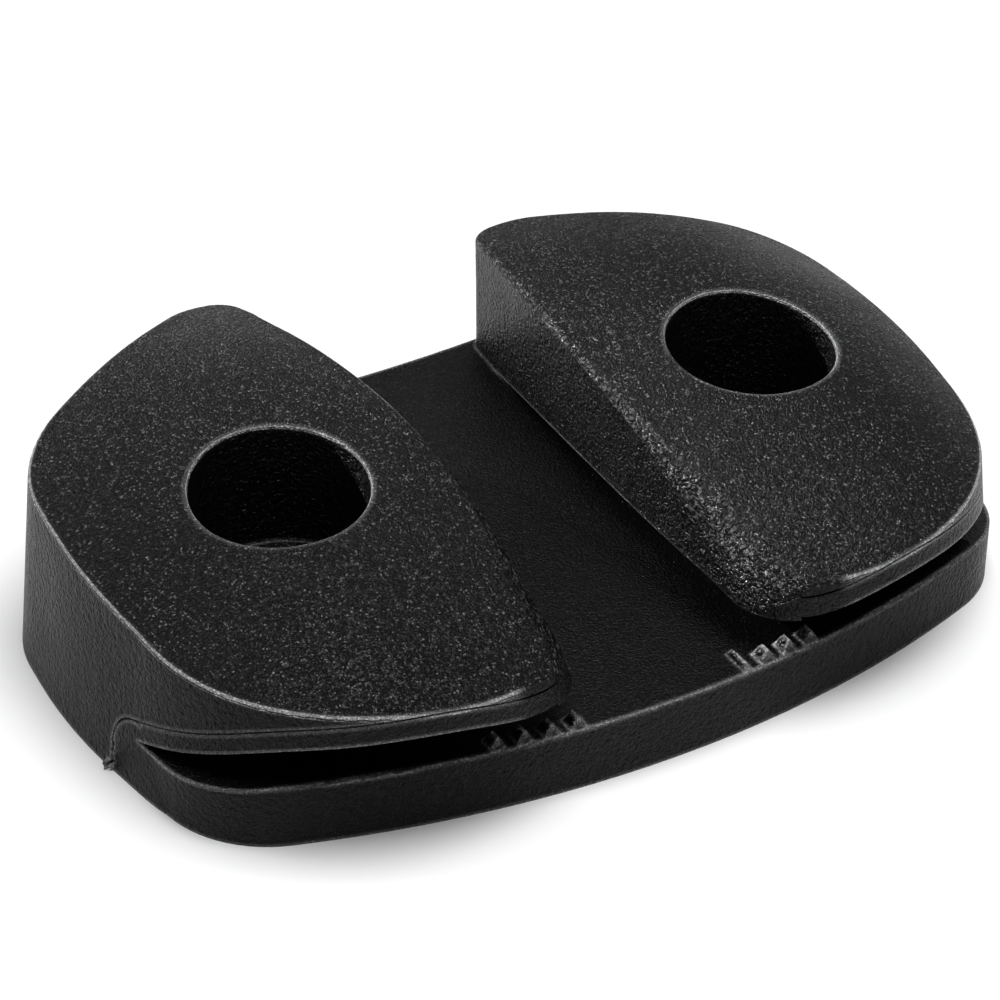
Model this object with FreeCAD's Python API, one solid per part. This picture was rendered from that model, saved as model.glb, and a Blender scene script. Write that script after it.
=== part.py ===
import FreeCAD, Part
import math
import os

# Zig zag cleat, moulded in one piece: a base plate with two crowned bosses, mirror images of
# each other. The rope lies in the channel between the bosses and is pulled under their
# front lips, where ribs on the plate bite it.
# Frame: origin on the underside, midway between the two screw holes. X runs from hole to
# hole, Z is up, and the lips and the ribs look towards -Y. The shape is laid out about the
# middle of the plate and moved to that origin at the end.

V = FreeCAD.Vector

# Screws
HOLE_SPACING = 30.0      # centre to centre
HOLE_Y = -1.6
HEAD_R = 4.88            # recess for the screw head
HEAD_SEAT_Z = 5.8        # where the head sits
SHANK_R = 2.75           # clearance for the screw shank
HOLE_EASE = 0.2          # rounded edge at the mouth

# Base plate
PLATE_T = 3.8
PLATE_FRONT_Y = -18.4    # at the middle of the front edge
PLATE_FRONT_R = 65.5     # the front edge bows outwards
PLATE_HALF = 26.6        # from the middle to the side edge, level with the middle
PLATE_SIDE_LEAN = 0.07   # the side edges close in by this share towards the front
SIDE_TRIES = 4           # rounds of finding where the side meets the bowed front
PLATE_CORNER_R = 6.8
PLATE_BACK_Y = 19.0      # at the middle of the back edge
PLATE_BACK_X = 10.5      # the back edge runs into the bosses here
PLATE_BACK_BOW = 0.6     # and is hollow by this much
PLATE_EASE = 0.18
DIP = 0.125              # the top falls off outwards at this slope under each lip,
DIP_X = 20.0             # from this far out level with the slot's outer end,
DIP_Y = -6.0
DIP_SKEW = 0.235         # and further out towards the front

# Boss outline at the base, right-hand side
BACK_END = V(3.2, 20.1, 0)
BACK_BEND = V(11.6, 20.0, 0)
BACK_BEND_R = 6.0
BACK_CORNER = V(26.55, 10.8, 0)
BACK_CORNER_R = 9.0
SIDE_BULGE = V(27.45, 0.0, 0)
SIDE_BULGE_R = 40.0
NOSE_CORNER = V(24.1, -23.1, 0)
NOSE_R = 14.4
NOSE_END = V(3.2, -17.8, 0)
DRAFT = 0.105            # the outer walls lean in by this share of their height
TOP_Z = 16.0             # above the crown, before it is cut

# Crown of the boss
CREST = V(14.5, 6.2, 13.4)
CROWN_R_LONG = 63.0      # front to back
CROWN_R_OUTER = 24.0     # from the crest to the outer wall
CROWN_R_INNER = 50.0     # from the crest to the channel
CROWN_REACH_OUT = 17.0   # the section is drawn this far from the crest to either side
CROWN_REACH_IN = 20.0
CROWN_SWING = 35.0       # and swung to the front and the back by this many degrees
CROWN_EASE = 0.3

# Channel wall
WALL_REACH = 21.0        # the wall's curve is drawn this far to the back and the front
WALL_BACK = 8.65         # distance from the middle at the back end
WALL_MID_FOOT = 7.1
WALL_MID_TOP = 5.1
WALL_FRONT_FOOT = 4.2
WALL_FRONT_TOP = 6.6
CHANNEL_NOSE_R = 3.6     # plan rounding at the front end of the wall
CHANNEL_BACK_R = 1.7     # plan rounding at the back end of the wall
ROLL_END_R = 0.38        # rounding of the wall's top edge at its two ends
ROLL_FRONT_R = 1.9       # the same where the wall turns into the lip
ROLL_GROWTH = 3.5        # how late the rounding widens
ROLL_FADE = 1.3          # how late it narrows again, round the bend at the front
ROLL_DROP = 1.3          # it reaches further down the wall than across the top
ROLL_CUT = 0.28          # where its arc runs, as a share of the radius
ROLL_WALL_STEPS = 12
ROLL_BEND_STEPS = 5
ROLL_CLEAR = 0.22        # the rounding tool stands clear of the edge by this at both ends

# Slot under the lip
ROOT_OUTER = V(26.6, -6.0, 0)      # the slot closes to nothing along its root,
ROOT_PULL = V(14.0, -9.5, 0)       # which bends round the screw hole
ROOT_CHANNEL = V(8.6, -3.0, 0)
SLOT_CENTRE = V(13.0, -4.0, 0)     # the mouth is laid out by angle about this point
SLOT_REACH = 14.4
SLOT_GAP_NOSE = 3.3
SLOT_GAP_CHANNEL = 2.3
SLOT_OPEN_DEG = 9.5
SLOT_PEAK_DEG = 80.0
SLOT_CHANNEL_DEG = 112.0
SLOT_STEPS = 8
SLOT_SPREAD = 1.3        # the tool reaches past the mouth by this share
FOOT_FRONT_Y = -9.4      # behind this the plate's side follows the boss

# Relief under the channel wall, which runs out towards the back
RELIEF_BACK_Y = 15.6
RELIEF_FRONT_Y = -12.5
RELIEF_GAP = 2.2         # at its front, level with the slot's mouth
RELIEF_X = 9.0           # how far under the boss it reaches

# Mould lines on the outer wall: a fine groove above the slot and, on the left, a ragged
# seam that climbs from the base and bends over into the groove
RIM_H = 1.15             # from the slot's roof to the groove
GROOVE = 0.12            # width and depth
SEAM_Y = -4.3
SEAM_W = 0.22
SEAM_DEPTH = 0.25
SEAM_WAVER = 0.06
SEAM_STEPS = 12

# Scraps of flash left at the foot of the left wall
BURR_X = 26.8
BURR_ROOT = 0.4          # how far a scrap reaches into the wall
BURR_SMALL_Y = -1.7
BURR_SMALL = 0.3
BURR_BIG_Y = -4.0
BURR_BIG = 0.55

# Ribs that bite the rope
RIB_W = 0.95
RIB_H = 0.75
RIB_PITCH = 1.5 
RIB_COUNT = 4            # on the left; the right has three and a thin one
RIB_L = 1.15
RIB_INSET = 0.1          # from the plate's front edge to the foot of a rib
RIB_LEAN = 0.2           # the front of a rib leans back by this much
RIB_SINK = 0.3           # the root of a rib in the plate
RIB_LEFT_X = -10.6
RIB_RIGHT_X = 5.75
THIN_RIB_X = 4.35
THIN_RIB_W = 0.5
THIN_RIB_H = 0.4
THIN_RIB_L = 1.9


def rounded(corners, z):
    """Closed wire through corners given as pairs of point and radius."""
    edges = []
    count = len(corners)
    joints = []
    for i in range(count):
        before = corners[i - 1][0]
        here, radius = corners[i]
        after = corners[(i + 1) % count][0]
        come = (here - before).normalize()
        go = (after - here).normalize()
        if radius == 0:
            joints.append((here, None, here))
            continue
        turn = come.getAngle(go)
        leg = radius * math.tan(turn / 2)
        first = here - come * leg
        last = here + go * leg
        middle = (go - come).normalize() * (radius / math.cos(turn / 2) - radius)
        joints.append((first, here + middle, last))
    lift = V(0, 0, z)
    for i in range(count):
        first, middle, last = joints[i]
        nxt = joints[(i + 1) % count][0]
        if middle is not None:
            edges.append(Part.Arc(first + lift, middle + lift, last + lift).toShape())
        edges.append(Part.makeLine(last + lift, nxt + lift))
    return Part.Wire(edges)


def boss_outline():
    return rounded([
        (BACK_END, 0),
        (BACK_BEND, BACK_BEND_R),
        (BACK_CORNER, BACK_CORNER_R),
        (SIDE_BULGE, SIDE_BULGE_R),
        (NOSE_CORNER, NOSE_R),
        (NOSE_END, 0),
    ], 0)


def drafted(outline, grow, z_low, z_high):
    """Solid between two heights whose walls follow the outline and lean in."""
    low = outline.makeOffset2D(grow - DRAFT * z_low)
    low.translate(V(0, 0, z_low))
    high = outline.makeOffset2D(grow - DRAFT * z_high)
    high.translate(V(0, 0, z_high))
    return Part.makeLoft([low, high], True, True)


def channel_side(mid, front, z):
    """Closed wire on one level whose curved side is the channel wall."""
    first = V(WALL_BACK, WALL_REACH, z)
    last = V(front, -WALL_REACH, z)
    far = V(-4, 0, 0)
    return Part.Wire([
        Part.Arc(first, V(mid, 0, z), last).toShape(),
        Part.makeLine(last, V(far.x, -WALL_REACH, z)),
        Part.makeLine(V(far.x, -WALL_REACH, z), V(far.x, WALL_REACH, z)),
        Part.makeLine(V(far.x, WALL_REACH, z), first),
    ])


def channel():
    low = channel_side(WALL_MID_FOOT, WALL_FRONT_FOOT, 0)
    high = channel_side(WALL_MID_TOP, WALL_FRONT_TOP, TOP_Z)
    return Part.makeLoft([low, high], True, True)


def fallen(reach, radius):
    """Point of the crown's cross section this far out from the crest."""
    fall = radius - math.sqrt(radius ** 2 - reach ** 2)
    return V(CREST.x + reach, CREST.y, CREST.z - fall)


def crown():
    """Everything under the crowned top: a two-arc section swung about a low axis."""
    outer = fallen(CROWN_REACH_OUT, CROWN_R_OUTER)
    inner = fallen(-CROWN_REACH_IN, CROWN_R_INNER)
    axis = V(CREST.x, CREST.y, CREST.z - CROWN_R_LONG)
    low_out = V(outer.x, CREST.y, -CREST.z)
    low_in = V(inner.x, CREST.y, -CREST.z)
    section = Part.Wire([
        Part.Arc(inner, fallen(-CROWN_REACH_IN / 2, CROWN_R_INNER), CREST).toShape(),
        Part.Arc(CREST, fallen(CROWN_REACH_OUT / 2, CROWN_R_OUTER), outer).toShape(),
        Part.makeLine(outer, low_out),
        Part.makeLine(low_out, low_in),
        Part.makeLine(low_in, inner),
    ])
    face = Part.Face(section)
    face.rotate(axis, V(1, 0, 0), -CROWN_SWING)
    return face.revolve(axis, V(1, 0, 0), 2 * CROWN_SWING)


def floor_z(point):
    """Height of the plate's top over a point on its right-hand side."""
    out = point.x - DIP_X + DIP_SKEW * (point.y - DIP_Y)
    return PLATE_T - DIP * max(out, 0)


def gap_at(degrees):
    """Height of the slot's mouth along the nose: from nothing to its peak, then down a little."""
    if degrees < SLOT_PEAK_DEG:
        share = (degrees - SLOT_OPEN_DEG) / (SLOT_PEAK_DEG - SLOT_OPEN_DEG)
        return SLOT_GAP_NOSE * math.sin(math.radians(90) * share)
    share = (degrees - SLOT_PEAK_DEG) / (SLOT_CHANNEL_DEG - SLOT_PEAK_DEG)
    drop = SLOT_GAP_NOSE - SLOT_GAP_CHANNEL
    return SLOT_GAP_CHANNEL + drop * (1 + math.cos(math.pi * share)) / 2


def root_at(share):
    """Point on the root of the slot."""
    rest = 1 - share
    return ROOT_OUTER * rest ** 2 + ROOT_PULL * 2 * rest * share + ROOT_CHANNEL * share ** 2


def mouth_at(degrees):
    """Point on the mouth of the slot, in plan."""
    angle = math.radians(-degrees)
    return SLOT_CENTRE + V(math.cos(angle), math.sin(angle), 0) * SLOT_REACH


def slot():
    """The wedge under the lip, lofted through upright sections from its root to its mouth."""
    sections = []
    first = SLOT_OPEN_DEG + 1
    low = V(0, 0, -2)
    for step in range(SLOT_STEPS + 1):
        share = step / SLOT_STEPS
        degrees = first + (SLOT_CHANNEL_DEG - first) * share
        mouth = mouth_at(degrees)
        root = root_at(share)
        out = root + (mouth - root) * SLOT_SPREAD
        edge = root + V(0, 0, floor_z(root))
        climb = floor_z(mouth) + gap_at(degrees) - edge.z
        roof = out + V(0, 0, edge.z + climb * SLOT_SPREAD)
        sections.append(Part.makePolygon([edge, root + low, out + low, roof, edge]))
    return Part.makeLoft(sections, True, False)


def relief():
    """The thin wedge under the channel wall, open to the slot at its front."""
    far_y = RELIEF_FRONT_Y - 12
    outline = Part.makePolygon([
        V(0, RELIEF_BACK_Y, -2),
        V(0, RELIEF_BACK_Y, PLATE_T),
        V(0, RELIEF_FRONT_Y, PLATE_T + RELIEF_GAP),
        V(0, far_y, PLATE_T + RELIEF_GAP),
        V(0, far_y, -2),
        V(0, RELIEF_BACK_Y, -2),
    ])
    return Part.Face(outline).extrude(V(RELIEF_X, 0, 0))


def plate(outline):
    """Base with a bowed front edge, and side edges that run flush into the boss walls."""
    block = drafted(outline, 0, 0, PLATE_T)
    foot = block.common(Part.makeBox(PLATE_HALF, -FOOT_FRONT_Y, PLATE_T, V(DIP_X, FOOT_FRONT_Y, 0)))
    return slab().fuse([foot, mirrored(foot)]).cut([dip(1), dip(-1)])


def front_edge_y(x):
    """Where the plate's front edge runs."""
    return PLATE_FRONT_Y + PLATE_FRONT_R - math.sqrt(PLATE_FRONT_R ** 2 - x ** 2)


def slab():
    """Flat plate whose front edge bows out and whose back edge is slightly hollow."""
    wide = PLATE_HALF
    for _ in range(SIDE_TRIES):
        wide = PLATE_HALF + PLATE_SIDE_LEAN * front_edge_y(wide)
    front_y = front_edge_y(wide)
    front = Part.Arc(V(wide, front_y, 0), V(0, PLATE_FRONT_Y, 0), V(-wide, front_y, 0))
    back_y = PLATE_BACK_Y + PLATE_BACK_BOW
    back = Part.Arc(V(-PLATE_BACK_X, back_y, 0), V(0, PLATE_BACK_Y, 0), V(PLATE_BACK_X, back_y, 0))
    left = Part.makePolygon([V(-wide, front_y, 0), V(-PLATE_HALF, 0, 0), V(-PLATE_BACK_X, back_y, 0)])
    right = Part.makePolygon([V(PLATE_BACK_X, back_y, 0), V(PLATE_HALF, 0, 0), V(wide, front_y, 0)])
    outline = Part.Wire([front.toShape()] + left.Edges + [back.toShape()] + right.Edges)
    block = Part.Face(outline).extrude(V(0, 0, PLATE_T))
    corners = [e for e in block.Edges if abs(e.CenterOfMass.z - PLATE_T / 2) < 0.1
               and e.CenterOfMass.y < PLATE_FRONT_Y / 2]
    block = block.makeFillet(PLATE_CORNER_R, corners)
    lip = [e for e in block.Edges if e.CenterOfMass.z > PLATE_T - 0.01
           and e.CenterOfMass.y < PLATE_FRONT_Y / 2]
    return block.makeFillet(PLATE_EASE, lip)


def dip(side):
    """What lies over the sloping part of the plate's top, on the right for side 1."""
    corners = []
    near = DIP_X + DIP_SKEW * DIP_Y
    far = 2 * DIP_X
    front = 2 * PLATE_FRONT_Y
    for x, y in ((near, 0), (far, 0), (far, front), (near, front)):
        z = PLATE_T - DIP * (x - DIP_X + DIP_SKEW * (y - DIP_Y))
        corners.append(V(side * x, y, z))
    face = Part.Face(Part.makePolygon(corners + corners[:1]))
    return face.extrude(V(0, 0, PLATE_T))


def middle_of(edge):
    return edge.valueAt((edge.FirstParameter + edge.LastParameter) / 2)


def upright(edge):
    low, high = edge.Vertexes[0].Point, edge.Vertexes[-1].Point
    return abs(high.z - low.z) > TOP_Z / 2


def boss_block(outline):
    """The boss before its crown and slot, with its channel corners rounded."""
    block = drafted(outline, 0, 0, TOP_Z).cut(channel())
    for radius, back in ((CHANNEL_NOSE_R, False), (CHANNEL_BACK_R, True)):
        ends = [e for e in block.Edges if upright(e) and (e.CenterOfMass.y > 0) == back]
        corner = min(ends, key=lambda e: e.CenterOfMass.x)
        block = block.makeFillet(radius, [corner])
    return block


def crown_z(x, y):
    """Height of the crown over a point of the plan."""
    along = CROWN_R_LONG - math.sqrt(CROWN_R_LONG ** 2 - (y - CREST.y) ** 2)
    bend = CROWN_R_OUTER if x > CREST.x else CROWN_R_INNER
    return CREST.z - along - (bend - math.sqrt(bend ** 2 - (x - CREST.x) ** 2))


def roll_section(point, inward, radius):
    """What lies outside a rounding of this radius, on a plane square to the edge."""
    up = V(0, 0, 1)
    top = point + inward * radius
    top.z = crown_z(top.x, top.y) + 0.01
    low = point - up * radius * ROLL_DROP
    middle = point + inward * radius * ROLL_CUT - up * radius * (ROLL_CUT + ROLL_DROP - 1.1)
    outside = low - inward * 2
    return Part.Wire([
        Part.Arc(top, middle, low).toShape(),
        Part.makeLine(low, outside),
        Part.makeLine(outside, outside + up * (radius + 3)),
        Part.makeLine(outside + up * (radius + 3), top + up * 3),
        Part.makeLine(top + up * 3, top),
    ])


def roll(edges):
    """Tool that rounds the wall's top edge, little at the back and widest at the front."""
    sections = []
    wall, bend = edges
    growth = ROLL_FRONT_R - ROLL_END_R
    for step in range(ROLL_WALL_STEPS):
        share = step / ROLL_WALL_STEPS
        radius = ROLL_END_R + growth * swell(share ** ROLL_GROWTH)
        sections.append(roll_at(wall, share, radius, 0 if step else ROLL_CLEAR))
    for step in range(ROLL_BEND_STEPS):
        share = step / ROLL_BEND_STEPS
        radius = ROLL_FRONT_R - growth * swell(share ** ROLL_FADE)
        sections.append(roll_at(bend, share, radius, 0))
    sections.append(roll_at(bend, 1, ROLL_END_R, ROLL_CLEAR))
    return Part.makeLoft(sections, True, False)


def swell(share):
    """Rise from 0 to 1 that starts and ends level."""
    return share * share * (3 - 2 * share)


def roll_at(edge, share, radius, clear):
    """Section at a share of the edge's length, counted from its back end."""
    first, last = edge.FirstParameter, edge.LastParameter
    if edge.valueAt(first).y < edge.valueAt(last).y:
        share = 1 - share
    at = edge.getParameterByLength(edge.Length * share)
    tangent = edge.tangentAt(at)
    inward = V(tangent.y, -tangent.x, 0).normalize()
    if inward.x + inward.y < 0:
        inward = inward * -1
    section = roll_section(edge.valueAt(at), inward, radius)
    section.translate((V(0, 0, 1) - inward) * clear)
    return section


def eased_boss(outline):
    """The crowned boss with a small rounding all round its top and a roll along the wall."""
    boss = boss_block(outline).common(crown())
    top = [e for e in boss.Edges if middle_of(e).z > TOP_Z / 3 and not upright(e)]
    rim = [e for e in top if abs(middle_of(e).x - CREST.x) > 0.01]
    wall = max(rim, key=lambda e: e.Length)
    front = [e for e in rim if middle_of(e).y < -CHANNEL_NOSE_R and not e.isSame(wall)]
    bend = min(front, key=lambda e: middle_of(e).x)
    tool = roll([wall, bend])
    return boss.makeFillet(CROWN_EASE, rim).cut(tool)


def skin(outline, depth):
    """Layer of this depth at the outer wall, and the air just outside it."""
    return drafted(outline, 1, 0, TOP_Z).cut(drafted(outline, -depth, 0, TOP_Z))


def groove(outline, opening):
    """Fine line round the lip, parallel to the roof of the slot."""
    roof = max(opening.Faces, key=lambda f: f.CenterOfMass.z)
    layer = roof.extrude(V(0, 0, GROOVE))
    layer.translate(V(0, 0, RIM_H))
    return layer.common(skin(outline, GROOVE)).cut(channel())


def groove_start():
    """Middle of the groove where it begins, above the outer end of the slot."""
    degrees = SLOT_OPEN_DEG + 1
    mouth = mouth_at(degrees)
    return mouth + V(0, 0, floor_z(mouth) + gap_at(degrees) + RIM_H + GROOVE / 2)


def seam(outline):
    """Ragged line up the left wall that bends over into the groove."""
    path = []
    end = groove_start()
    bend = SEAM_Y - end.y
    bend_z = end.z - bend
    for i in range(SEAM_STEPS + 1):
        z = bend_z * i / SEAM_STEPS
        y = SEAM_Y + SEAM_WAVER * (math.sin(7.1 * z) + 0.6 * math.sin(17.3 * z + 1))
        half = SEAM_W / 2 * (1 + 0.35 * math.sin(11.9 * z))
        path.append((V(0, y, z), V(0, half, 0)))
    centre = V(0, end.y, bend_z)
    for i in range(1, SEAM_STEPS + 1):
        turn = math.radians(90) * i / SEAM_STEPS
        out = V(0, math.cos(turn), math.sin(turn))
        path.append((centre + out * bend, out * (GROOVE / 2)))
    path.append((V(0, end.y - GROOVE, end.z), V(0, 0, GROOVE / 2)))
    near = [point + half for point, half in path]
    far = [point - half for point, half in path]
    line = Part.Face(Part.makePolygon(near + far[::-1] + near[:1]))
    line.translate(V(-PLATE_HALF - 2, 0, 0))
    return line.extrude(V(4, 0, 0)).common(mirrored(skin(outline, SEAM_DEPTH)))


def burr(y, size):
    """Scrap of flash that stands out at the foot of the left wall."""
    back = V(BURR_ROOT - BURR_X, y + size, 0)
    front = V(BURR_ROOT - BURR_X, y - size, 0)
    outline = Part.makePolygon([back, front, V(-BURR_X - size, y - size / 2, 0), back])
    return Part.Face(outline).extrude(V(0, 0, size))


def screw_hole():
    middle = V(HOLE_SPACING / 2, HOLE_Y, 0)
    shank = Part.makeCylinder(SHANK_R, HEAD_SEAT_Z + 2, middle - V(0, 0, 1))
    head = Part.makeCylinder(HEAD_R, 2 * CREST.z, middle + V(0, 0, HEAD_SEAT_Z))
    return shank.fuse(head)


def rib(x, width, height, length):
    """Ridge with a pointed section, standing on the plate behind its front edge."""
    low = PLATE_T - RIB_SINK
    front_y = front_edge_y(x) + RIB_INSET
    back_y = front_y + length
    ends = []
    for y, top in (
        (back_y, 0.5 * height),
        (back_y - height / 2, height),
        (front_y + RIB_LEAN, height),
        (front_y, 0.1 * height),
    ):
        ends.append(Part.makePolygon([
            V(x - width / 2, y, low),
            V(x - width / 2, y, PLATE_T),
            V(x, y, PLATE_T + top),
            V(x + width / 2, y, PLATE_T),
            V(x + width / 2, y, low),
            V(x - width / 2, y, low),
        ]))
    return Part.makeLoft(ends, True, True)


def mirrored(shape):
    return shape.mirror(V(0, 0, 0), V(1, 0, 0))


def finished_boss(outline):
    """Right-hand boss with its slot, its groove and its screw hole."""
    opening = slot()
    boss = eased_boss(outline).cut(opening).cut(relief())
    boss = boss.cut(groove(outline, opening)).cut(screw_hole())
    return boss.makeFillet(HOLE_EASE, [e for e in boss.Edges if on_mouth(e)])


def on_mouth(edge):
    """Whether an edge runs round the mouth of the screw hole."""
    point = middle_of(edge)
    away = V(point.x - HOLE_SPACING / 2, point.y - HOLE_Y, 0).Length
    return away < HEAD_R + 0.01 and point.z > (HEAD_SEAT_Z + CREST.z) / 2


def build():
    outline = boss_outline()
    boss = finished_boss(outline)
    extras = [rib(THIN_RIB_X, THIN_RIB_W, THIN_RIB_H, THIN_RIB_L)]
    for i in range(RIB_COUNT):
        extras.append(rib(RIB_LEFT_X + i * RIB_PITCH, RIB_W, RIB_H, RIB_L))
    for i in range(RIB_COUNT - 1):
        extras.append(rib(RIB_RIGHT_X + i * RIB_PITCH, RIB_W, RIB_H, RIB_L))
    extras.append(burr(BURR_SMALL_Y, BURR_SMALL))
    extras.append(burr(BURR_BIG_Y, BURR_BIG))
    body = plate(outline).fuse([boss, mirrored(boss)] + extras)
    hole = screw_hole()
    body = body.cut([hole, mirrored(hole), seam(outline)])
    body.translate(V(0, -HOLE_Y, 0))
    return body


if __name__ == "__main__":
    os.makedirs("parts", exist_ok=True)
    build().exportStep("parts/cleat_body.step")
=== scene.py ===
# %% [markdown]
# Zig zag cleat, lit like a catalogue photograph.
# The real thing is one moulding in black nylon with chopped glass in it: two crowned bosses
# on a flat base, with a rope channel between them. Its shape comes finished from the packed
# frame, so this script makes only what a modeller would add round it: the skin of the
# moulding, a pale floor, soft light and the camera.

# %% Load the frame
import math

import bpy
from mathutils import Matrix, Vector

MM = 0.001

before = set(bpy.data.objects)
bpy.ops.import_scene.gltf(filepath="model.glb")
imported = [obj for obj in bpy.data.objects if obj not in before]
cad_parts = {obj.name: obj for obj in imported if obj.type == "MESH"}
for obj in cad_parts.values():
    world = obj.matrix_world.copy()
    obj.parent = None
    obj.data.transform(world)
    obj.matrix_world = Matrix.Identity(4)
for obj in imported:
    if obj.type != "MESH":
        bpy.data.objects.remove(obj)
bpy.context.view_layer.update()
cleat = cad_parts["cleat_body"]

# %% [markdown]
# Node helpers.
# A material is a graph, and a graph is easier to read when each line of code adds one node
# and says what feeds it. These helpers add a node with its settings and wire a value or a
# link into a socket. Sums, ramps and colour mixes come up so often that each has its own.

# %% Node helpers
def add(tree, kind, inputs=None, **settings):
    """New node: settings are its own options, inputs are values or sockets by name or place."""
    node = tree.nodes.new(kind)
    for name, value in settings.items():
        setattr(node, name, value)
    for key, value in (inputs or {}).items():
        feed(tree, node.inputs[key], value)
    return node


def feed(tree, socket, value):
    """Link a socket to a socket, or set its own value."""
    if isinstance(value, bpy.types.NodeSocket):
        tree.links.new(value, socket)
    else:
        socket.default_value = value


def math_of(tree, operation, first, second=0.0):
    """Result of one sum on two values or sockets."""
    node = add(tree, "ShaderNodeMath", {0: first, 1: second}, operation=operation)
    return node.outputs[0]


def rest_of(tree, mask):
    """All that a mask leaves out."""
    return math_of(tree, "SUBTRACT", 1.0, mask)


def ramp_of(tree, value, low, high, to_low=0.0, to_high=1.0):
    """Value carried smoothly from one range to another, and held at its ends."""
    limits = {"Value": value, "From Min": low, "From Max": high,
              "To Min": to_low, "To Max": to_high}
    node = add(tree, "ShaderNodeMapRange", limits, interpolation_type="SMOOTHSTEP")
    return node.outputs["Result"]


def mix_of(tree, mask, under, over):
    """One colour laid over another where the mask is 1."""
    colours = {"Factor": mask, "A": under, "B": over}
    node = add(tree, "ShaderNodeMix", colours, data_type="RGBA")
    return node.outputs["Result"]


# %% [markdown]
# Group helpers.
# An effect that several materials share is built once, as a node group with named sockets,
# and then placed in each material with that material's own values.

# %% Group helpers
def new_group(title, inputs, outputs):
    """Empty shader group, with its first nodes. Inputs are pairs of name and default."""
    tree = bpy.data.node_groups.new(title, "ShaderNodeTree")
    tree.interface.new_socket("Vector", in_out="INPUT", socket_type="NodeSocketVector")
    for name, value in inputs:
        socket = tree.interface.new_socket(name, in_out="INPUT", socket_type="NodeSocketFloat")
        socket.default_value = value
    for name in outputs:
        tree.interface.new_socket(name, in_out="OUTPUT", socket_type="NodeSocketFloat")
    return tree, tree.nodes.new("NodeGroupInput"), tree.nodes.new("NodeGroupOutput")


def place_group(tree, group, place, values):
    """Group laid on a surface, with its own values there. Returns its outputs."""
    node = tree.nodes.new("ShaderNodeGroup")
    node.node_tree = group
    feed(tree, node.inputs["Vector"], place)
    for key, value in values.items():
        feed(tree, node.inputs[key], value)
    return node.outputs


# %% [markdown]
# Pebble grain.
# The mould is spark-eroded, which leaves a skin of tiny rounded bumps about a fifth of a
# millimetre across. A cell pattern gives the bumps their size, and a noise pushes the cells
# about, because real grain has no two bumps alike. The group gives a height for the bump and
# a mask of a few cells with polished tops, which are glossier and get a painted glint in the
# skin's colour. Sizes are in mm.

# %% Pebble grain group
NOISE_CENTRE = (0.5, 0.5, 0.5)
NOISE_SHARE = 0.6
DOME_REACH = 0.8
POLISH_REACH = (0.2, 0.55)


def make_pebble_grain():
    inputs = [("Size", 0.2), ("Wander", 0.5), ("Share Polished", 0.2)]
    tree, entry, out = new_group("pebble_grain", inputs, ["Height", "Glints"])
    place = entry.outputs["Vector"]
    size = math_of(tree, "MULTIPLY", entry.outputs["Size"], MM)
    scale = math_of(tree, "DIVIDE", 1.0, size)
    noise = add(tree, "ShaderNodeTexNoise", {"Vector": place, "Scale": scale, "Detail": 1.0})
    centred = add(tree, "ShaderNodeVectorMath",
                  {0: noise.outputs["Color"], 1: NOISE_CENTRE}, operation="SUBTRACT")
    reach = math_of(tree, "MULTIPLY", size, entry.outputs["Wander"])
    push = add(tree, "ShaderNodeVectorMath",
               {0: centred.outputs[0], "Scale": reach}, operation="SCALE")
    moved = add(tree, "ShaderNodeVectorMath", {0: place, 1: push.outputs[0]})
    cells = add(tree, "ShaderNodeTexVoronoi", {"Vector": moved.outputs[0], "Scale": scale})
    distance = cells.outputs["Distance"]

    dome = ramp_of(tree, distance, 0.0, DOME_REACH, 1.0, 0.0)
    rough_top = math_of(tree, "MULTIPLY", noise.outputs["Fac"], NOISE_SHARE)
    feed(tree, out.inputs["Height"], math_of(tree, "ADD", dome, rough_top))

    pick = add(tree, "ShaderNodeSeparateColor", {"Color": cells.outputs["Color"]})
    bar = rest_of(tree, entry.outputs["Share Polished"])
    chosen = math_of(tree, "GREATER_THAN", pick.outputs[0], bar)
    tops = ramp_of(tree, distance, *POLISH_REACH, 1.0, 0.0)
    polish = math_of(tree, "MULTIPLY", tops, pick.outputs[1])
    feed(tree, out.inputs["Glints"], math_of(tree, "MULTIPLY", chosen, polish))
    return tree


pebble_grain = make_pebble_grain()
print("group", pebble_grain.name, "with", len(pebble_grain.nodes), "nodes")

# %% [markdown]
# Mottling.
# No moulded or painted surface is the same all over: the plastic flows and cools unevenly,
# and a floor has faint cloudy patches. Soft noise gives one slow value round a half, which
# each material then uses for its gloss. Sizes are in mm.

# %% Mottling group
def make_mottling():
    tree, entry, out = new_group("mottling", [("Size", 4.0), ("Contrast", 0.5)], ["Value"])
    scale = math_of(tree, "DIVIDE", 1.0 / MM, entry.outputs["Size"])
    cloud = add(tree, "ShaderNodeTexNoise",
                {"Vector": entry.outputs["Vector"], "Scale": scale, "Detail": 3.0})
    centred = math_of(tree, "SUBTRACT", cloud.outputs["Fac"], 0.5)
    spread = math_of(tree, "MULTIPLY", centred, entry.outputs["Contrast"])
    doubled = math_of(tree, "MULTIPLY", spread, 2.0)
    feed(tree, out.inputs["Value"], math_of(tree, "ADD", doubled, 0.5))
    return tree


mottling = make_mottling()
print("group", mottling.name, "with", len(mottling.nodes), "nodes")

# %% [markdown]
# Where on the moulding.
# The crowns, the walls and the channel floor came out of different parts of the mould, and
# look different. A painted map could tell them apart, but two things the renderer knows
# already do it as well: how high a point is above the underside, and how level its surface
# is, which is the upward part of its normal. Each mask goes from 0 to 1.

# %% Place masks
FLOOR_TOP = 4.2 * MM
BOSS_LOW = 6.5 * MM
CHANNEL_SIDE = 9.5 * MM
LEVEL = (0.25, 0.6)
ROLL_STARTS = (0.2, 0.5)
ROLL_ENDS = (0.6, 0.92)


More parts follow.
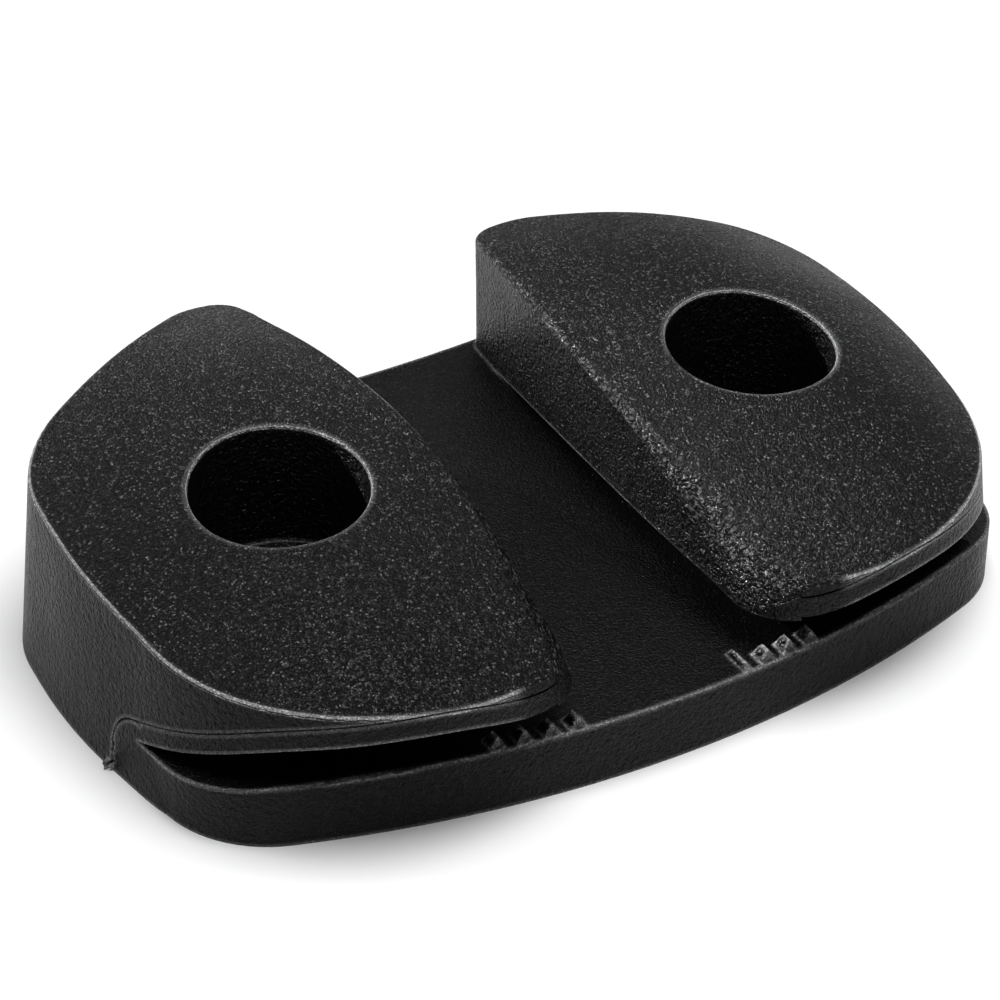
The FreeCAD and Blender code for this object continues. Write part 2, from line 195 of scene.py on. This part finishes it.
def make_masks(tree, place, normal):
    """Masks of the moulding's own parts, by name."""
    level = add(tree, "ShaderNodeSeparateXYZ", {0: normal}).outputs["Z"]
    spot = add(tree, "ShaderNodeSeparateXYZ", {0: place})
    high = ramp_of(tree, spot.outputs["Z"], FLOOR_TOP, BOSS_LOW)
    low = rest_of(tree, high)
    up = ramp_of(tree, level, *LEVEL)
    sideways = math_of(tree, "ABSOLUTE", spot.outputs["X"])
    outward = ramp_of(tree, sideways, CHANNEL_SIDE, CHANNEL_SIDE + MM)
    leaning = math_of(tree, "MULTIPLY", ramp_of(tree, level, *ROLL_STARTS),
                      ramp_of(tree, level, *ROLL_ENDS, 1.0, 0.0))
    roll = math_of(tree, "MULTIPLY", leaning, high)
    return {
        "level": level, "high": high, "low": low, "outward": outward,
        "crown": math_of(tree, "MULTIPLY", up, high),
        "channel": math_of(tree, "MULTIPLY", up, low),
        "roll": math_of(tree, "MULTIPLY", roll, rest_of(tree, outward)),
    }


# %% [markdown]
# Painted edge highlights.
# Sharp edges and rounded lips catch thin lines of light, and these are painted into the colour
# as pale lines of painted highlight. The Bevel node gives the normal that a rounded edge would
# have, and where it turns away from the true one there is an edge. The rounding of the lip is
# too soft for that, so it is picked by how level it is, on both sides of the fine groove that
# the mould left along it. The grain then breaks the lines up.

# %% Painted edge highlights
EDGE_REACH = 0.4 * MM
EDGE_SAMPLES = 2
EDGE_TURN = (0.95, 0.86)
RIM_STARTS = (0.13, 0.22)
RIM_ENDS = (0.72, 0.84)
GROOVE_LEVEL = 0.42
GROOVE_WIDTH = (0.03, 0.10)


def make_edge(tree, normal, masks):
    """Sharp edges, but not the crease where a channel wall starts to roll."""
    bevel = add(tree, "ShaderNodeBevel", {"Radius": EDGE_REACH}, samples=EDGE_SAMPLES)
    turned = add(tree, "ShaderNodeVectorMath",
                 {0: bevel.outputs[0], 1: normal}, operation="DOT_PRODUCT")
    edge = ramp_of(tree, turned.outputs["Value"], *EDGE_TURN)
    away = math_of(tree, "MAXIMUM", masks["outward"], masks["low"])
    return math_of(tree, "MULTIPLY", edge, away)


def make_rim(tree, masks):
    """Rounding of the lips, with the groove left out."""
    level = masks["level"]
    rounding = math_of(tree, "MULTIPLY", ramp_of(tree, level, *RIM_STARTS),
                       ramp_of(tree, level, *RIM_ENDS, 1.0, 0.0))
    off_groove = math_of(tree, "ABSOLUTE", math_of(tree, "SUBTRACT", level, GROOVE_LEVEL))
    beside = ramp_of(tree, off_groove, *GROOVE_WIDTH)
    rim = math_of(tree, "MULTIPLY", rounding, beside)
    rim = math_of(tree, "MULTIPLY", rim, masks["outward"])
    return math_of(tree, "MULTIPLY", rim, masks["high"])


# Pale lines of painted highlight along sharp edges and lips, broken up by the grain.
def make_painted_edge_highlight(tree, normal, masks, fine):
    lines = math_of(tree, "MAXIMUM", make_edge(tree, normal, masks), make_rim(tree, masks))
    broken = ramp_of(tree, fine["Height"], 0.5, 1.1, 0.45, 1.0)
    return math_of(tree, "MULTIPLY", lines, broken)


# %% [markdown]
# Colour of the skin.
# The nylon is nearly black all through. Three kinds of painted highlight lie over it: glints on
# a few grain cells, mostly on the crowns, a sheen on the tops of the leathery grain on the
# rolled edges, and pale lines along the edges.

# %% Skin colour
NYLON_COLOUR = (0.0028, 0.0028, 0.0030, 1.0)
# painted glint: bright colour on a few grain cells, standing in for highlights
PAINTED_GLINT_COLOUR = (0.21, 0.21, 0.215, 1.0)
# painted sheen: lighter colour on the tops of the coarse grain on the rolls, standing in for a
# highlight
PAINTED_SHEEN_COLOUR = (0.095, 0.095, 0.097, 1.0)
# painted highlight: pale colour for the bright lines along edges and lips
PAINTED_EDGE_HIGHLIGHT_COLOUR = (0.52, 0.52, 0.53, 1.0)
PAINTED_GLINTS_OFF_CROWN = 0.08
PAINTED_SHEEN_HEIGHT = (0.75, 1.2)


def make_colour(tree, masks, fine, coarse, edge_highlight_paint):
    # painted glints on a few grain cells, mostly on the crowns
    painted_glint_reach = ramp_of(tree, masks["crown"], 0.0, 1.0, PAINTED_GLINTS_OFF_CROWN, 1.0)
    painted_glints = math_of(tree, "MULTIPLY", fine["Glints"], painted_glint_reach)
    colour = mix_of(tree, painted_glints, NYLON_COLOUR, PAINTED_GLINT_COLOUR)
    # painted sheen on the tops of the coarse grain on the rolls
    tops = math_of(tree, "MULTIPLY", masks["roll"],
                   ramp_of(tree, coarse["Height"], *PAINTED_SHEEN_HEIGHT))
    colour = mix_of(tree, tops, colour, PAINTED_SHEEN_COLOUR)
    # painted highlight lines along the edges and lips
    return mix_of(tree, edge_highlight_paint, colour, PAINTED_EDGE_HIGHLIGHT_COLOUR)


# %% [markdown]
# Gloss and relief of the skin.
# Satin plastic varies a little in gloss, its polished specks are glossier, and so are the
# rolled edges. The relief is too fine to be worth any geometry, so it is a bump: the fine
# grain is shallow on the channel floor, and the coarse one is strong only on the walls.

# %% Skin gloss and relief
SATIN = (0.30, 0.38)
GLINT_GLOSS = 0.12
ROLL_GLOSS = 0.1
CHANNEL_DEPTH = 0.4
WALL_DEPTH = 1.2
CROWN_DEPTH = 0.12
GRAIN_HEIGHT = 0.07 * MM


def make_roughness(tree, masks, fine, cloud):
    rough = ramp_of(tree, cloud["Value"], 0.2, 0.8, *SATIN)
    specks = math_of(tree, "MULTIPLY", fine["Glints"], GLINT_GLOSS)
    rough = math_of(tree, "SUBTRACT", rough, specks)
    return math_of(tree, "SUBTRACT", rough, math_of(tree, "MULTIPLY", masks["roll"], ROLL_GLOSS))


def make_relief(tree, masks, fine, coarse):
    fine_depth = ramp_of(tree, masks["channel"], 0.0, 1.0, 1.0, CHANNEL_DEPTH)
    coarse_depth = ramp_of(tree, masks["level"], 0.5, 0.95, WALL_DEPTH, CROWN_DEPTH)
    pebbles = math_of(tree, "MULTIPLY", fine["Height"], fine_depth)
    leather = math_of(tree, "MULTIPLY", coarse["Height"], coarse_depth)
    relief = math_of(tree, "ADD", pebbles, leather)
    bump = add(tree, "ShaderNodeBump",
               {"Height": relief, "Strength": 1.0, "Distance": GRAIN_HEIGHT})
    return bump.outputs["Normal"]


# %% [markdown]
# Black nylon.
# All of that comes together in one material, which covers the whole moulding as the real
# skin does. The grain is laid in object coordinates, so that it has its true size and
# doesn't stretch, and needs no unwrapping. The reflection is kept low, because this plastic
# has a dull skin with glass in it and not a polished one.

# %% Black nylon material
REFLECTION = 0.25
FINE_GRAIN = {"Size": 0.15, "Wander": 1.4, "Share Polished": 0.3}
COARSE_GRAIN = {"Size": 0.34, "Wander": 1.0, "Share Polished": 0.1}
FLOW_CLOUDS = {"Size": 5.0, "Contrast": 0.6}


def make_nylon():
    material = bpy.data.materials.new("black_nylon_skin")
    material.use_nodes = True
    tree = material.node_tree
    shader = tree.nodes["Principled BSDF"]
    shader.inputs["Specular IOR Level"].default_value = REFLECTION
    place = add(tree, "ShaderNodeTexCoord").outputs["Object"]
    normal = add(tree, "ShaderNodeNewGeometry").outputs["Normal"]

    masks = make_masks(tree, place, normal)
    fine = place_group(tree, pebble_grain, place, FINE_GRAIN)
    coarse = place_group(tree, pebble_grain, place, COARSE_GRAIN)
    cloud = place_group(tree, mottling, place, FLOW_CLOUDS)
    edge_highlight_paint = make_painted_edge_highlight(tree, normal, masks, fine)

    feed(tree, shader.inputs["Base Color"], make_colour(tree, masks, fine, coarse, edge_highlight_paint))
    feed(tree, shader.inputs["Roughness"], make_roughness(tree, masks, fine, cloud))
    feed(tree, shader.inputs["Normal"], make_relief(tree, masks, fine, coarse))
    return material


nylon = make_nylon()
for slot in cleat.material_slots:
    slot.material = nylon
print("skin on", cleat.name, "with", len(nylon.node_tree.nodes), "nodes")

# %% [markdown]
# Floor.
# A catalogue shot stands on a seamless white table. A wide disc does the same: it is big
# enough to reach past the frame, and its gloss has a very faint mottling so that it isn't a
# dead flat sheet.

# %% Floor
FLOOR_RADIUS = 1.5
FLOOR_COLOUR = (0.86, 0.86, 0.865, 1.0)
FLOOR_REFLECTION = 0.1
FLOOR_ROUGHNESS = (0.75, 0.9)
FLOOR_CLOUDS = {"Size": 60.0, "Contrast": 0.4}


def make_table():
    material = bpy.data.materials.new("white_table")
    material.use_nodes = True
    tree = material.node_tree
    shader = tree.nodes["Principled BSDF"]
    shader.inputs["Base Color"].default_value = FLOOR_COLOUR
    shader.inputs["Specular IOR Level"].default_value = FLOOR_REFLECTION
    place = add(tree, "ShaderNodeTexCoord").outputs["Object"]
    cloud = place_group(tree, mottling, place, FLOOR_CLOUDS)
    feed(tree, shader.inputs["Roughness"],
         ramp_of(tree, cloud["Value"], 0.0, 1.0, *FLOOR_ROUGHNESS))
    return material


bpy.ops.mesh.primitive_circle_add(vertices=128, radius=FLOOR_RADIUS, fill_type="NGON")
floor = bpy.context.object
floor.name = "floor"
floor.data.materials.append(make_table())
print("floor is", 2 * FLOOR_RADIUS, "m across")

# %% [markdown]
# Light.
# Black plastic shows its shape by what it mirrors, so the light matters more than the
# colour. A pale surround lights it evenly, a softbox low behind on the left catches the
# walls, and a wide one overhead lights the crowns and the table. A snoot, which is a lamp
# in a tube, stands where the roll of the right channel wall mirrors it into the camera: it
# gives that roll its sheen and leaves the rest alone.

# %% Softboxes and snoot
SURROUND = 0.25
CLEAT_MIDDLE = Vector((0.0, 0.0, 0.0))
ROLL = Vector((7.5, -5.5, 10.0)) * MM


def hang_lamp(name, data, power, place, aim):
    """Lamp at a place in metres, turned towards what it lights."""
    data.energy = power
    light = bpy.data.objects.new(name, data)
    light.location = place
    light.rotation_euler = (aim - Vector(place)).to_track_quat("-Z", "Y").to_euler()
    bpy.context.scene.collection.objects.link(light)


def make_softbox(name, place, size, power):
    """Square softbox, aimed at the cleat."""
    data = bpy.data.lights.new(name, "AREA")
    data.shape = "SQUARE"
    data.size = size
    hang_lamp(name, data, power, place, CLEAT_MIDDLE)


def make_snoot(name, place, mouth, cone, power):
    """Narrow lamp with a soft edge, aimed at the roll."""
    data = bpy.data.lights.new(name, "SPOT")
    data.shadow_soft_size = mouth
    data.spot_size = math.radians(cone)
    data.spot_blend = 1.0
    hang_lamp(name, data, power, place, ROLL)


world = bpy.data.worlds.new("surround")
world.use_nodes = True
world.node_tree.nodes["Background"].inputs["Color"].default_value = (1.0, 1.0, 1.0, 1.0)
world.node_tree.nodes["Background"].inputs["Strength"].default_value = SURROUND
bpy.context.scene.world = world
make_softbox("softbox_back_left", (-0.42, 0.50, 0.22), size=0.22, power=0.7)
make_softbox("softbox_overhead", (0.10, -0.06, 0.78), size=0.55, power=5.9)
make_snoot("snoot_roll", (-0.31, 0.42, 0.25), mouth=0.015, cone=2.6, power=60.0)

# %% [markdown]
# Camera.
# The picture was taken from the front left, looking down by about a third of a right
# angle, with a long lens. The distance was worked out from how much smaller the far screw
# hole looks than the near one, and the lens from the size of the part in the frame. The
# contrast goes up a step, as in a printed catalogue, or black plastic looks grey and flat.

# %% Camera
CAMERA_AZIMUTH = math.radians(29.99)
CAMERA_ELEVATION = math.radians(33.35)
CAMERA_DISTANCE = 186.9 * MM
CAMERA_AIM = Vector((-0.534, 1.6, 6.0)) * MM
CAMERA_LENS = 119.4
CAMERA_SENSOR = 36.0
NEAREST_SEEN = 0.01

camera_data = bpy.data.cameras.new("camera")
camera_data.lens = CAMERA_LENS
camera_data.sensor_width = CAMERA_SENSOR
camera_data.clip_start = NEAREST_SEEN
camera = bpy.data.objects.new("camera", camera_data)
back = Vector((-math.sin(CAMERA_AZIMUTH) * math.cos(CAMERA_ELEVATION),
               -math.cos(CAMERA_AZIMUTH) * math.cos(CAMERA_ELEVATION),
               math.sin(CAMERA_ELEVATION)))
camera.location = CAMERA_AIM + back * CAMERA_DISTANCE
camera.rotation_euler = (-back).to_track_quat("-Z", "Y").to_euler()
bpy.context.scene.collection.objects.link(camera)
bpy.context.scene.camera = camera
bpy.context.scene.view_settings.view_transform = "Standard"
bpy.context.scene.view_settings.look = "Medium High Contrast"
print("camera at", [round(c / MM, 1) for c in camera.location], "mm")
